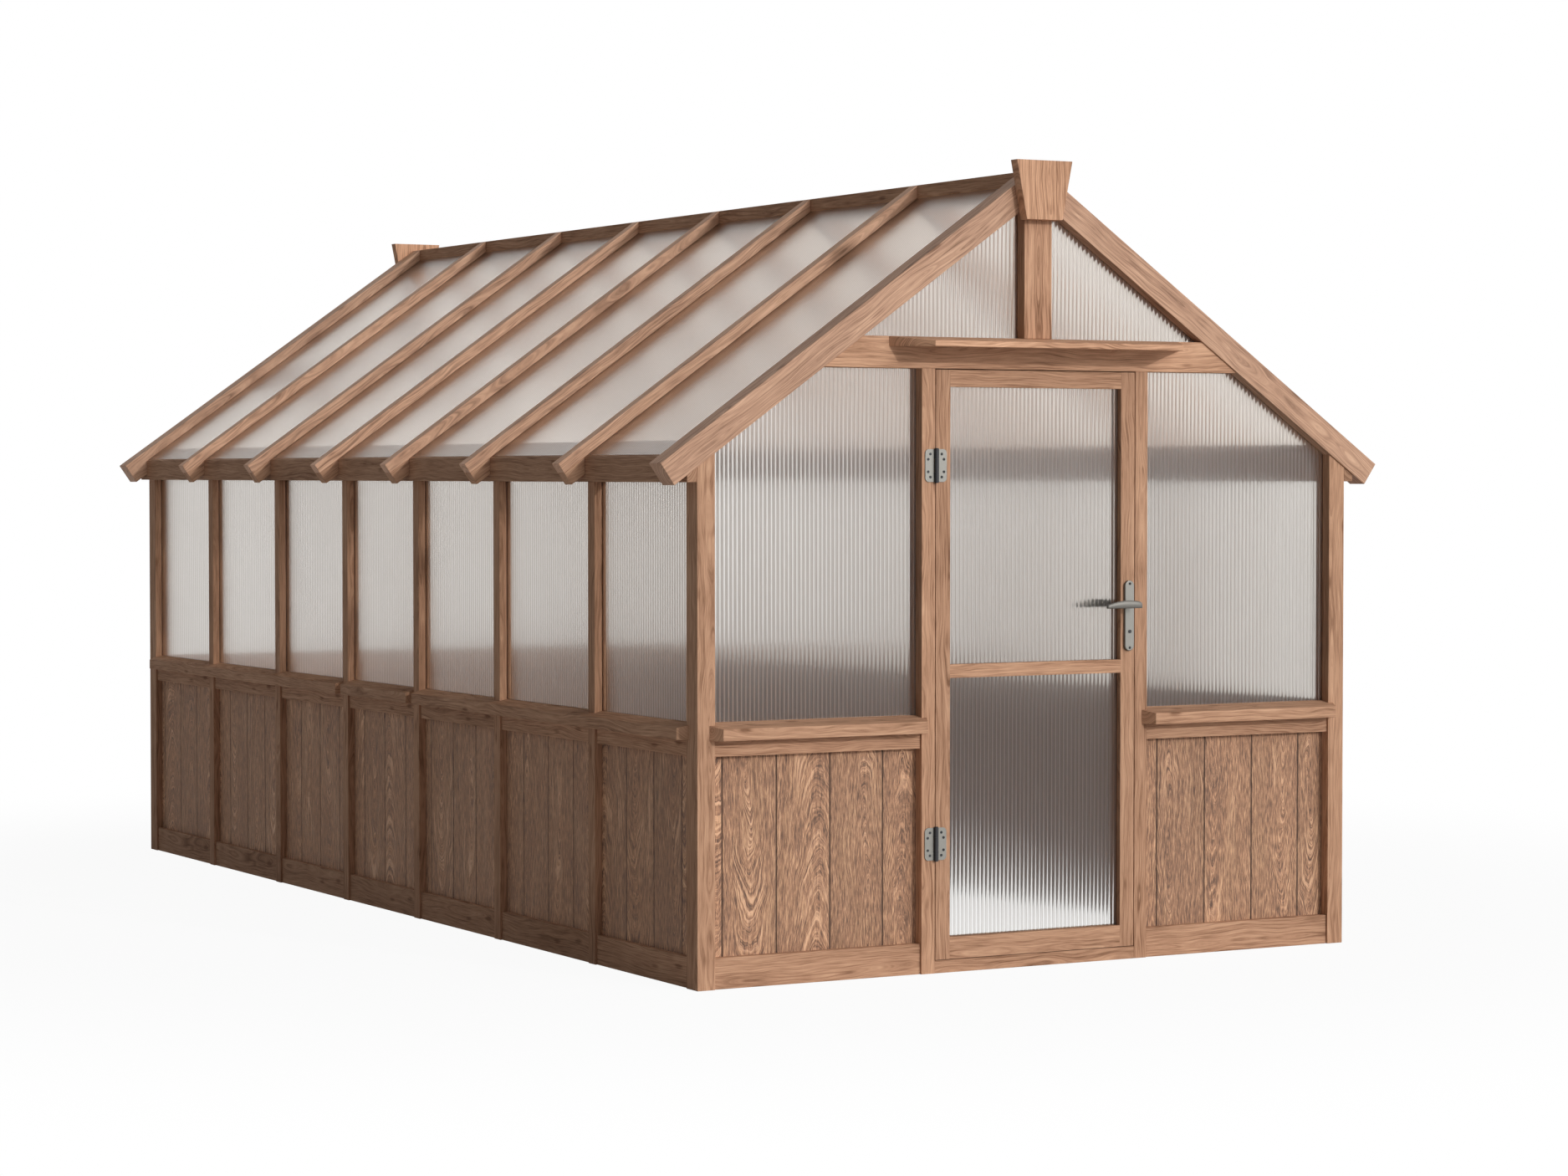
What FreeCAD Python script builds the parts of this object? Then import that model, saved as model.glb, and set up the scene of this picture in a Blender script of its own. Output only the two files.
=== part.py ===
import FreeCAD, Part
import math
import os

# Wooden gable greenhouse, millimetres, +Z up
# X runs across the front, Y from the door towards the back

# Ground plan
width = 2420.0
corner_w = 61.0
wall_depth = 72.0
post_w = 48.0
side_depth = 48.0
door_opening = 750.0
bay_outer = 626.0
bay_second = 670.0
bay_third = 626.0
bay_middle = 600.0

# Heights of the walls
bottom_rail_h = 95.0
mid_rail_z = 704.0
mid_rail_h = 50.0
plate_z = 1532.0
collar_over_plate = 352.0
collar_h = 98.0
rail_setback = 7.0

# Roof
pitch = 35.0
eave_rise = 145.25
eave_reach = 126.0
cap_d = 36.0
rafter_d = 45.0
rafter_w = 48.0
ridge_t = 38.0
gable_proud = 6.0
beam_t = 34.0
eave_lip = 10.0
rebate_w = 14.0

# Gable dressings
king_w = 102.0
king_d = 60.0
key_t = 38.0
key_top_w = 207.0
key_bottom_w = 133.0
key_over = 15.5
key_h = 186.0
canopy_reach = 143.0
canopy_wall_half = 542.0
canopy_edge_half = 461.0
canopy_back_h = 31.0
canopy_edge_h = 18.0
canopy_fall = 3.0

# Sheets and boards share one groove in the frame
infill_t = 10.0
front_recess = 36.0
side_recess = 26.0
groove_d = 8.0
fit = 0.2
edge_gap = 0.3
board_pitch = 188.0
board_vee = 3.0
front_left_first = 42.0
front_right_first = 98.0
rear_middle_first = 93.0
side_first = (78.0, 161.0, 15.0, 130.0, 97.0, 177.0, 27.0)

# Sills
sill_edge_h = 37.0
sill_wall_h = 46.0
sill_back_h = 53.0
sill_front_reach = 46.0
sill_side_reach = 30.0
sill_overlap = 20.0
sill_side_overlap = 17.0
sill_slant = 24.0

# Door
door_gap = 3.0
door_t = 48.0
threshold_h = 40.0
threshold_lip = 15.0
under_door = 2.0
stop_gap = 0.4
head_stop_h = 18.0
stile_w = 52.0
top_rail_h = 53.0
door_mid_z = 921.0
door_mid_h = 42.0
kick_rail_h = 68.0

# Hinges
hinge_h = 102.0
hinge_low_z = 354.0
hinge_high_z = 1532.0
hinge_leaf_w = 39.0
hinge_leaf_t = 3.0
knuckle_r = 7.0
pin_r = 3.0
pin_fit = 0.08
knuckle_gap = 0.3
leaf_corner_r = 13.0
screw_r = 2.0
screw_head_r = 4.2
screw_head_h = 1.0
screw_len = 22.0

# Lock and handle
plate_x = 349.0
plate_w = 35.0
plate_h = 225.0
plate_z0 = 991.0
plate_t = 10.0
plate_edge_r = 2.5
plate_screw_in = 10.0
lever_z = 1140.0
lever_reach = 118.0
lever_heel = 15.0
lever_stand = 50.0
lever_t = 12.0
lever_hub_r = 10.0
lever_rise = 14.0
lever_belly = 12.0
lever_heel_h = 9.5
lever_tip_h = 6.4
lever_tip_drop = 4.5
spindle_side = 8.0
spindle_hole_r = 6.2
turn_z = 1053.0
turn_side = 6.0
turn_hole_r = 4.8
turn_boss_r = 9.0
turn_boss_h = 7.0
turn_grip_h = 22.0
turn_grip_t = 7.0
turn_grip_d = 13.0
coin_r = 5.5
coin_t = 2.0
coin_slot = 1.6
hub_gap = 0.3
case_x0 = 331.0
case_z0 = 1028.0
case_h = 164.0
case_t = 18.0
bolt_t = 12.0
bolt_h = 16.0
bolt_gap = 0.3
latch_z = 1165.0
latch_x0 = 345.0
latch_out = 10.0
latch_throw = 10.0
dead_z = 1080.0
dead_x0 = 340.0
dead_in = 0.5
strike_t = 2.0
strike_w = 32.0
strike_over = 14.0
strike_margin = 3.0
keep_depth = 17.0

V = FreeCAD.Vector
X_AXIS = V(1, 0, 0)
Y_AXIS = V(0, 1, 0)
Z_AXIS = V(0, 0, 1)

# Derived places
half_w = width / 2
inner_x = half_w - corner_w
door_x = door_opening / 2
door_post_x = door_x + post_w
bays = (bay_outer, bay_second, bay_third, bay_middle, bay_third, bay_second, bay_outer)
length = 2 * wall_depth + 6 * post_w + sum(bays)
sill_z = mid_rail_z + mid_rail_h
collar_z = plate_z + collar_over_plate
collar_top = collar_z + collar_h
roof_d = cap_d + rafter_d
into = groove_d - edge_gap
tan_p = math.tan(math.radians(pitch))
sin_p = math.sin(math.radians(pitch))
cos_p = math.cos(math.radians(pitch))
apex_z = plate_z + eave_rise + half_w * tan_p
tail_x = half_w + eave_reach
key_top_z = apex_z + key_over
ridge_x = ridge_t / 2
beam_x = half_w + beam_t
lip_x = beam_x - eave_lip
centre_y = (length + gable_proud + key_t - canopy_reach) / 2


def box(x0, x1, y0, y1, z0, z1):
    """Box between two corners."""
    return Part.makeBox(x1 - x0, y1 - y0, z1 - z0, V(x0, y0, z0))


def prism(points, reach):
    """Closed outline pushed out along a vector."""
    outline = Part.makePolygon(points + [points[0]])
    return Part.Face(outline).extrude(reach)


def along_x(yz, x0, x1):
    """Section in Y and Z drawn out along X."""
    return prism([V(x0, y, z) for y, z in yz], V(x1 - x0, 0, 0))


def along_y(xz, y0, y1):
    """Section in X and Z drawn out along Y."""
    return prism([V(x, y0, z) for x, z in xz], V(0, y1 - y0, 0))


def along_z(xy, z0, z1):
    """Plan outline drawn up along Z."""
    return prism([V(x, y, z0) for x, y in xy], V(0, 0, z1 - z0))


def rod(base, axis, radius, reach):
    """Round bar from a base point."""
    return Part.makeCylinder(radius, reach, base, axis)


def opposite(shape):
    """The same piece on the other side of the centre line."""
    return shape.mirror(V(0, 0, 0), X_AXIS)


def at_rear(shape):
    """The same piece in the rear wall."""
    return shape.mirror(V(0, length / 2, 0), Y_AXIS)


def joined(shapes):
    """One solid from touching solids."""
    whole = shapes[0]
    for extra in shapes[1:]:
        whole = whole.fuse(extra)
    return whole.removeSplitter()


def less(shape, tools):
    """A piece with pockets or grooves taken out."""
    if not tools:
        return shape
    return shape.cut(Part.makeCompound(tools))


def write(name, pieces):
    """Write one named piece, or one set of like pieces, in the shared frame."""
    solids = []
    for piece in pieces:
        solids.extend(piece.Solids)
    whole = Part.makeCompound(solids)
    if len(solids) == 1:
        whole = solids[0].copy()
    whole.translate(V(0, -centre_y, 0))
    whole.exportStep("parts/" + name + ".step")


def roof_z(x, d):
    """Height of the right slope at x, d under the top of the caps."""
    return apex_z - x * tan_p - d / cos_p


def roof_x(z, d):
    """Distance from the centre line where the slope at depth d has height z."""
    return (apex_z - d / cos_p - z) / tan_p


def slope_outline(d0, d1, x_end):
    """Right slope strip: plumb against the ridge, square cut at the low end."""
    z_end = roof_z(x_end, 0)
    low0 = (x_end - d0 * sin_p, z_end - d0 * cos_p)
    low1 = (x_end - d1 * sin_p, z_end - d1 * cos_p)
    return [(ridge_x, roof_z(ridge_x, d0)), low0, low1, (ridge_x, roof_z(ridge_x, d1))]


def rail_section(t0, t1, recess, z0, z1, groove_up):
    """Rail section over depth into the wall, grooved for boards above or below."""
    g0 = recess - fit
    g1 = recess + infill_t + fit
    if groove_up:
        return [(t0, z0), (t1, z0), (t1, z1), (g1, z1), (g1, z1 - groove_d),
                (g0, z1 - groove_d), (g0, z1), (t0, z1)]
    return [(t0, z0), (g0, z0), (g0, z0 + groove_d), (g1, z0 + groove_d),
            (g1, z0), (t1, z0), (t1, z1), (t0, z1)]


def sill_back_section(t1, recess):
    """Part of a sill between the posts, with the groove for the pane."""
    g0 = recess - fit
    g1 = recess + infill_t + fit
    top = sill_z + sill_back_h
    return [(0, sill_z), (t1, sill_z), (t1, top), (g1, top), (g1, top - groove_d),
            (g0, top - groove_d), (g0, top), (0, sill_z + sill_wall_h)]


def sill_nose_section(reach):
    """Part of a sill in front of the wall face."""
    return [(-reach, sill_z), (0, sill_z), (0, sill_z + sill_wall_h), (-reach, sill_z + sill_edge_h)]


def board_edges(a, b, first):
    """Board limits between two posts, with the joint bevel at each edge."""
    cuts = []
    place = a + first
    while place < b - board_vee * 3:
        if place > a + board_vee * 3:
            cuts.append(place)
        place += board_pitch
    limits = [a - into] + cuts + [b + into]
    bevels = [0.0] + [board_vee] * len(cuts) + [0.0]
    return [(limits[i], limits[i + 1], bevels[i], bevels[i + 1]) for i in range(len(limits) - 1)]


def board_plan(s0, s1, c0, c1, recess):
    """Plan of one board, (place along the wall, depth into it), front edges bevelled."""
    back = recess + infill_t
    outline = [(s0 + c0, recess), (s1 - c1, recess)]
    if c1 > 0:
        outline.append((s1, recess + c1))
    outline.append((s1, back))
    outline.append((s0, back))
    if c0 > 0:
        outline.append((s0, recess + c0))
    return outline


board_z0 = bottom_rail_h - into
board_z1 = mid_rail_z + into
pane_z0 = sill_z + sill_back_h - into
front_back = wall_depth - rail_setback
side_back = side_depth - rail_setback
front_g0 = front_recess - fit
front_g1 = front_recess + infill_t + fit
side_g0 = side_recess - fit
side_g1 = side_recess + infill_t + fit


def front_rails(x0, x1):
    """Bottom rail and mid rail of one bay across the front."""
    low = rail_section(rail_setback, front_back, front_recess, 0, bottom_rail_h, True)
    mid = rail_section(rail_setback, front_back, front_recess, mid_rail_z, sill_z, False)
    return [along_x(low, x0, x1), along_x(mid, x0, x1)]


def front_boards(x0, x1, first):
    """Boards of one bay across the front."""
    return [along_z(board_plan(*edges, front_recess), board_z0, board_z1)
            for edges in board_edges(x0, x1, first)]


def front_sill(x0, x1):
    """Sill of one bay across the front, ends slanted in plan."""
    w0 = x0 - sill_overlap
    w1 = x1 + sill_overlap
    nose = along_x(sill_nose_section(sill_front_reach), w0, w1)
    plan = [(w0, 0), (w1, 0), (w1 - sill_slant, -sill_front_reach), (w0 + sill_slant, -sill_front_reach)]
    nose = nose.common(along_z(plan, sill_z, sill_z + sill_wall_h))
    return joined([nose, along_x(sill_back_section(front_back, front_recess), x0, x1)])


def front_window():
    """Pane of the right front bay, its upper corner under the rafter."""
    x0 = door_post_x - into
    x1 = inner_x + into
    top = collar_z + into
    d = roof_d - into
    outline = [(x0, pane_z0), (x1, pane_z0), (x1, roof_z(x1, d)), (roof_x(top, d), top), (x0, top)]
    return along_y(outline, front_recess, front_recess + infill_t)


def side_rails(y0, y1):
    """Bottom rail and mid rail of one bay in the right long wall."""
    low = rail_section(rail_setback, side_back, side_recess, 0, bottom_rail_h, True)
    mid = rail_section(rail_setback, side_back, side_recess, mid_rail_z, sill_z, False)
    rails = []
    for section in (low, mid):
        rails.append(along_y([(half_w - t, z) for t, z in section], y0, y1))
    return rails


def side_boards(y0, y1, first):
    """Boards of one bay in the right long wall."""
    boards = []
    for edges in board_edges(y0, y1, first):
        plan = [(half_w - t, s) for s, t in board_plan(*edges, side_recess)]
        boards.append(along_z(plan, board_z0, board_z1))
    return boards


def side_sill(spans, over0, over1):
    """Sill over one or more bays of the right long wall, slanted at a corner end."""
    y0 = spans[0][0] - over0
    y1 = spans[-1][1] + over1
    slant0 = sill_slant if over0 > 0 else 0.0
    slant1 = sill_slant if over1 > 0 else 0.0
    nose = along_y([(half_w - t, z) for t, z in sill_nose_section(sill_side_reach)], y0, y1)
    edge_x = half_w + sill_side_reach
    plan = [(half_w, y0), (edge_x, y0 + slant0), (edge_x, y1 - slant1), (half_w, y1)]
    nose = nose.common(along_z(plan, sill_z, sill_z + sill_wall_h))
    back = [(half_w - t, z) for t, z in sill_back_section(side_back, side_recess)]
    return joined([nose] + [along_y(back, a, b) for a, b in spans])


def side_post(y0):
    """Post of the right long wall with grooves on both sides."""
    y1 = y0 + post_w
    plan = [(0, y0), (side_g0, y0), (side_g0, y0 + groove_d), (side_g1, y0 + groove_d), (side_g1, y0),
            (side_depth, y0), (side_depth, y1), (side_g1, y1), (side_g1, y1 - groove_d),
            (side_g0, y1 - groove_d), (side_g0, y1), (0, y1)]
    return along_z([(half_w - t, y) for t, y in plan], 0, plate_z)


def front_post(both):
    """Right post of the middle bay, grooved outside and, for a fixed bay, inside."""
    post = box(door_x, door_post_x, 0, wall_depth, 0, collar_z)
    grooves = [box(door_post_x - groove_d, door_post_x, front_g0, front_g1, 0, collar_z)]
    if both:
        grooves.append(box(door_x, door_x + groove_d, front_g0, front_g1, 0, collar_z))
    return less(post, grooves)


def corner_post():
    """Front right corner post, its head cut to the gable rafter."""
    high = roof_z(inner_x, roof_d)
    outline = [(inner_x, 0), (half_w, 0), (half_w, roof_z(half_w, roof_d)), (inner_x, high)]
    to_front = box(inner_x, inner_x + groove_d, front_g0, front_g1, 0, high)
    to_side = box(half_w - side_g1, half_w - side_g0, wall_depth - groove_d, wall_depth, 0, high)
    return less(along_y(outline, 0, wall_depth), [to_front, to_side])


def collar(full_groove):
    """Front collar beam with grooves for the panes above and below."""
    outline = [(-roof_x(collar_z, roof_d), collar_z), (roof_x(collar_z, roof_d), collar_z),
               (roof_x(collar_top, roof_d), collar_top), (-roof_x(collar_top, roof_d), collar_top)]
    beam = along_y(outline, 0, wall_depth)
    far = roof_x(collar_z, roof_d)
    near = door_post_x - groove_d
    low = [box(near, far, front_g0, front_g1, collar_z, collar_z + groove_d)]
    low.append(opposite(low[0]))
    if full_groove:
        middle_x = door_x + groove_d
        low.append(box(-middle_x, middle_x, front_g0, front_g1, collar_z, collar_z + groove_d))
    high = [box(king_w / 2 - groove_d, far, front_g0, front_g1, collar_top - groove_d, collar_top)]
    high.append(opposite(high[0]))
    return less(beam, low + high)


def king_post():
    """Front king post between the collar and the ridge."""
    x1 = king_w / 2
    shoulder = roof_z(x1, roof_d)
    head = roof_z(ridge_x, roof_d)
    outline = [(-x1, collar_top), (x1, collar_top), (x1, shoulder), (ridge_x, head),
               (-ridge_x, head), (-x1, shoulder)]
    post = along_y(outline, -gable_proud, king_d - gable_proud)
    groove = box(x1 - groove_d, x1, front_g0, front_g1, collar_top, roof_z(x1 - groove_d, roof_d))
    return less(post, [groove, opposite(groove)])


def gable_pane():
    """Right pane of the front gable."""
    x0 = king_w / 2 - into
    z0 = collar_top - into
    d = roof_d - into
    outline = [(x0, z0), (roof_x(z0, d), z0), (x0, roof_z(x0, d))]
    return along_y(outline, front_recess, front_recess + infill_t)


def gable_rafter():
    """Front right gable rafter, grooved under for the wall panes and inside for the roof pane."""
    rafter = along_y(slope_outline(0, roof_d, tail_x), -gable_proud, wall_depth)
    under_end = roof_x(roof_z(inner_x + groove_d, roof_d), 0)
    under = along_y(slope_outline(roof_d - groove_d, roof_d + 1, under_end), front_g0, front_g1)
    bed = slope_outline(cap_d, cap_d + infill_t + fit, pane_end_x + edge_gap)
    inside = along_y(bed, wall_depth - rebate_w, wall_depth)
    return less(rafter, [under, inside])


def keystone():
    """Front keystone over the apex."""
    a = key_top_w / 2
    b = key_bottom_w / 2
    low = key_top_z - key_h
    return along_y([(-b, low), (b, low), (a, key_top_z), (-a, key_top_z)], -gable_proud - key_t, -gable_proud)


def eave_outline(x0, x1):
    """Right eave timber section, its top under the roof panes."""
    d = cap_d + infill_t + fit
    return [(x0, plate_z), (x1, plate_z), (x1, roof_z(x1, d)), (x0, roof_z(x0, d))]


def eave_lip_outline():
    """Right lip on the outer edge of the eave beam, in front of the roof panes."""
    outer_top = roof_z(beam_x, cap_d)
    return [(lip_x, plate_z), (beam_x, plate_z), (beam_x, outer_top), (lip_x, roof_z(lip_x, cap_d))]


pane_end_x = lip_x - fit + cap_d * sin_p
post_places = []
bay_spans = []
run = wall_depth
for number, bay in enumerate(bays):
    bay_spans.append((run, run + bay))
    if number < len(bays) - 1:
        post_places.append(run + bay)
    run += bay + post_w
rafter_places = [y + (post_w - rafter_w) / 2 for y in post_places]

# Door leaf
door_half = door_x - door_gap
door_z0 = threshold_h + under_door
door_z1 = collar_z - door_gap
stile_in = door_half - stile_w
door_p0 = (door_t - infill_t) / 2
door_p1 = (door_t + infill_t) / 2
door_g0 = door_p0 - fit
door_g1 = door_p1 + fit
case_y0 = (door_t - case_t) / 2
case_y1 = (door_t + case_t) / 2
case_z1 = case_z0 + case_h
bolt_y0 = (door_t - bolt_t) / 2
bolt_y1 = (door_t + bolt_t) / 2

# Hinge axis in front of the gap between door and post
hinge_x = -(door_x - door_gap / 2)
hinge_y = -(knuckle_r + fit)
hinge_feet = (hinge_low_z, hinge_high_z)
leaf_start = knuckle_r + knuckle_gap


def to_inside(shape):
    """The same piece on the inner face of the door."""
    return shape.mirror(V(0, door_t / 2, 0), Y_AXIS)


def rounded(shape, radius):
    """A plate with the corners of its outline rounded."""
    edges = [e for e in shape.Edges if abs(e.tangentAt(e.FirstParameter).y) > 0.99]
    return shape.makeFillet(radius, edges)


def leaf_screws(side):
    """Screw centres of one hinge leaf in a bow: x, and height over the foot."""
    span = hinge_leaf_w - leaf_start
    near = hinge_x + side * (leaf_start + 0.42 * span)
    far = hinge_x + side * (leaf_start + 0.67 * span)
    return [(near, 0.15 * hinge_h), (far, 0.31 * hinge_h), (far, 0.69 * hinge_h), (near, 0.85 * hinge_h)]


def hinge_leaf(foot, side, knuckles):
    """Leaf with its knuckles; side is -1 on the post and 1 on the door."""
    a = hinge_x + side * leaf_start
    b = hinge_x + side * hinge_leaf_w
    parts = [rounded(box(min(a, b), max(a, b), -hinge_leaf_t, 0, foot, foot + hinge_h), leaf_corner_r)]
    root = hinge_x + side * (leaf_start + leaf_corner_r)
    parts.append(box(min(a, root), max(a, root), -hinge_leaf_t, 0, foot, foot + hinge_h))
    for low, high in knuckles:
        parts.append(rod(V(hinge_x, hinge_y, foot + low), Z_AXIS, knuckle_r, high - low))
        parts.append(box(min(hinge_x, root), max(hinge_x, root), -hinge_leaf_t, 0, foot + low, foot + high))
    holes = [rod(V(hinge_x, hinge_y, foot - 1), Z_AXIS, pin_r + pin_fit, hinge_h + 2)]
    for x, h in leaf_screws(side):
        holes.append(rod(V(x, -hinge_leaf_t - 1, foot + h), Y_AXIS, screw_r + fit, hinge_leaf_t + 2))
    return less(joined(parts), holes)


def screw(x, y, z, inward):
    """Screw with its head on the face at y; inward is 1 from outside and -1 from inside."""
    head = rod(V(x, y, z), V(0, -inward, 0), screw_head_r, screw_head_h)
    shank = rod(V(x, y, z), V(0, inward, 0), screw_r, screw_len)
    return joined([head, shank])


def pilot(x, y, z, inward):
    """Hole in the timber for a screw from the face at y."""
    return rod(V(x, y, z), V(0, inward, 0), screw_r + fit, screw_len + 1)


def stile():
    """Right door stile with the groove for rails and panes."""
    plan = [(stile_in, 0), (door_half, 0), (door_half, door_t), (stile_in, door_t), (stile_in, door_g1),
            (stile_in + groove_d, door_g1), (stile_in + groove_d, door_g0), (stile_in, door_g0)]
    return along_z(plan, door_z0, door_z1)


def door_rail(z0, z1, groove_low, groove_high):
    """Door rail with stub tenons in the stile grooves."""
    end = stile_in + into
    rail = joined([box(-stile_in, stile_in, 0, door_t, z0, z1), box(-end, end, door_p0, door_p1, z0, z1)])
    grooves = []
    if groove_low:
        grooves.append(box(-end, end, door_g0, door_g1, z0, z0 + groove_d))
    if groove_high:
        grooves.append(box(-end, end, door_g0, door_g1, z1 - groove_d, z1))
    return less(rail, grooves)


def door_pane(z0, z1):
    """Door pane between two rails."""
    end = stile_in + into
    return box(-end, end, door_p0, door_p1, z0 - into, z1 + into)


def bolt_box(x0, x1, z, room):
    """Room of a bolt along X at height z."""
    half = bolt_h / 2 + room
    return box(x0, x1, bolt_y0 - room, bolt_y1 + room, z - half, z + half)


def square_bar(z, side, y0, y1):
    """Square spindle through the door at height z."""
    return box(plate_x - side / 2, plate_x + side / 2, y0, y1, z - side / 2, z + side / 2)


def lever():
    """Outer lever: hub and an arched arm towards the hinge side."""
    y0 = -lever_stand - lever_t
    x0 = plate_x - lever_reach
    x1 = plate_x + lever_heel
    xm = (x0 + x1) / 2
    tip = lever_z - lever_tip_drop
    heel_top = V(x1, y0, lever_z + lever_heel_h)
    heel_foot = V(x1, y0, lever_z - lever_heel_h)
    tip_top = V(x0, y0, tip + lever_tip_h)
    tip_foot = V(x0, y0, tip - lever_tip_h)
    upper = Part.Arc(heel_top, V(xm, y0, lever_z + lever_rise), tip_top)
    lower = Part.Arc(tip_foot, V(xm, y0, lever_z - lever_belly), heel_foot)
    end = Part.makeLine(tip_top, tip_foot)
    back = Part.makeLine(heel_foot, heel_top)
    arm = Part.Face(Part.Wire([upper.toShape(), end, lower.toShape(), back])).extrude(V(0, lever_t, 0))
    foot = -plate_t - hub_gap
    hub = rod(V(plate_x, foot, lever_z), V(0, -1, 0), lever_hub_r, lever_stand + lever_t + foot)
    return joined([hub, arm])


os.makedirs("parts", exist_ok=True)

# Posts
corner = corner_post()
write("corner_posts", [corner, opposite(corner), at_rear(corner), at_rear(opposite(corner))])
post_pilots = [pilot(x, 0, foot + h, 1) for foot in hinge_feet for x, h in leaf_screws(-1)]
write("door_post_left", [less(opposite(front_post(False)), post_pilots)])
strike_y0 = door_t / 2 - strike_w / 2
strike_y1 = door_t / 2 + strike_w / 2
strike_z0 = dead_z - bolt_h / 2 - strike_over
strike_z1 = latch_z + bolt_h / 2 + strike_over
seat = box(door_x, door_x + strike_t, strike_y0 - fit, strike_y1 + fit, strike_z0 - fit, strike_z1 + fit)
keeps = [bolt_box(door_x, door_x + keep_depth, z, strike_margin) for z in (latch_z, dead_z)]
write("door_post_right", [less(front_post(False), [seat] + keeps)])
rear_post = at_rear(front_post(True))
write("rear_posts", [rear_post, opposite(rear_post)])
right_posts = [side_post(y) for y in post_places]
write("right_posts", right_posts)
write("left_posts", [opposite(p) for p in right_posts])

# Door sill and head
lip_y = door_t + stop_gap
lip_z = threshold_h + threshold_lip
step = [(0, 0), (wall_depth, 0), (wall_depth, lip_z), (lip_y, lip_z), (lip_y, threshold_h), (0, threshold_h)]
write("threshold", [along_x(step, -door_x, door_x)])
write("head_stop", [box(-door_x, door_x, lip_y, front_back, collar_z - head_stop_h, collar_z)])

# Rails, boards, sills and panes of the end walls
rails = front_rails(door_post_x, inner_x)
rails = rails + [opposite(r) for r in rails]
write("front_rails", rails)
write("rear_rails", [at_rear(r) for r in rails + front_rails(-door_x, door_x)])
boards = front_boards(-inner_x, -door_post_x, front_left_first)
boards = boards + [opposite(b) for b in front_boards(-inner_x, -door_post_x, front_right_first)]
write("front_boards", boards)
write("rear_boards", [at_rear(b) for b in boards + front_boards(-door_x, door_x, rear_middle_first)])
sill = front_sill(door_post_x, inner_x)
write("front_sills", [sill, opposite(sill)])
write("rear_sills", [at_rear(s) for s in (sill, opposite(sill), front_sill(-door_x, door_x))])
window = front_window()
write("front_windows", [window, opposite(window)])
middle_x = door_x + into
middle = box(-middle_x, middle_x, front_recess, front_recess + infill_t, pane_z0, collar_z + into)
write("rear_windows", [at_rear(w) for w in (window, opposite(window), middle)])

# Rails, boards, sills and panes of the long walls
rails = []
boards = []
panes = []
for (y0, y1), first in zip(bay_spans, side_first):
    rails.extend(side_rails(y0, y1))
    boards.extend(side_boards(y0, y1, first))
    pane_x = half_w - side_recess
    panes.append(box(pane_x - infill_t, pane_x, y0 - into, y1 + into, pane_z0, plate_z + into))
sills = [side_sill(bay_spans[:3], sill_side_overlap, 0.0), side_sill(bay_spans[3:4], 0.0, 0.0),
         side_sill(bay_spans[4:], 0.0, sill_side_overlap)]
for name, pieces in (("rails", rails), ("boards", boards), ("sills", sills), ("windows", panes)):
    write("right_" + name, pieces)
    write("left_" + name, [opposite(p) for p in pieces])

# Gables
write("collar_beams", [collar(False), at_rear(collar(True))])
write("king_posts", [king_post(), at_rear(king_post())])
pane = gable_pane()
write("gable_panes", [pane, opposite(pane), at_rear(pane), at_rear(opposite(pane))])
write("keystones", [keystone(), at_rear(keystone())])
canopy_foot = collar_top - canopy_back_h
canopy_low = canopy_foot - canopy_fall
wedge = [(0, canopy_foot), (0, collar_top), (-canopy_reach, canopy_low + canopy_edge_h),
         (-canopy_reach, canopy_low)]
plan = [(-canopy_wall_half, 0), (canopy_wall_half, 0), (canopy_edge_half, -canopy_reach),
        (-canopy_edge_half, -canopy_reach)]
canopy = along_x(wedge, -canopy_wall_half, canopy_wall_half)
write("door_canopy", [canopy.common(along_z(plan, canopy_low, collar_top))])

# Eaves, ridge and rafters
slots = [along_y(slope_outline(0, roof_d, tail_x), y - fit, y + rafter_w + fit) for y in rafter_places]
ends = [along_y(slope_outline(0, roof_d, tail_x), -gable_proud - 1, wall_depth)]
ends.append(at_rear(ends[0]))
beam = joined([along_y(eave_outline(half_w, beam_x), 0, length), along_y(eave_lip_outline(), 0, length)])
beam = less(beam, slots + ends)
write("eave_beams", [beam, opposite(beam)])
far_y = length - wall_depth
plate = along_y(eave_outline(half_w - side_depth, half_w), wall_depth, far_y)
pane_groove = box(half_w - side_g1, half_w - side_g0, wall_depth, far_y, plate_z, plate_z + groove_d)
plate = less(plate, slots + [pane_groove])
write("wall_plates", [plate, opposite(plate)])
ridge_low = roof_z(ridge_x, roof_d)
ridge_high = roof_z(ridge_x, 0)
write("ridge_board", [box(-ridge_x, ridge_x, -gable_proud, length + gable_proud, ridge_low, ridge_high)])
gable = gable_rafter()
write("gable_rafters", [gable, opposite(gable), at_rear(gable), at_rear(opposite(gable))])
rafters = []
caps = []
for y in rafter_places:
    bar = along_y(slope_outline(cap_d, roof_d, tail_x), y, y + rafter_w)
    bed = slope_outline(cap_d - 1, cap_d + infill_t + fit, pane_end_x + edge_gap)
    steps = [along_y(bed, y - 1, y + rebate_w), along_y(bed, y + rafter_w - rebate_w, y + rafter_w + 1)]
    rafters.append(less(bar, steps))
    caps.append(along_y(slope_outline(0, cap_d, tail_x), y, y + rafter_w))
roof_edges = [wall_depth] + [y for place in rafter_places for y in (place, place + rafter_w)]
roof_edges.append(length - wall_depth)
roof_panes = []
for y0, y1 in zip(roof_edges[0::2], roof_edges[1::2]):
    reach = rebate_w - edge_gap
    roof_panes.append(along_y(slope_outline(cap_d, cap_d + infill_t, pane_end_x), y0 - reach, y1 + reach))
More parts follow.
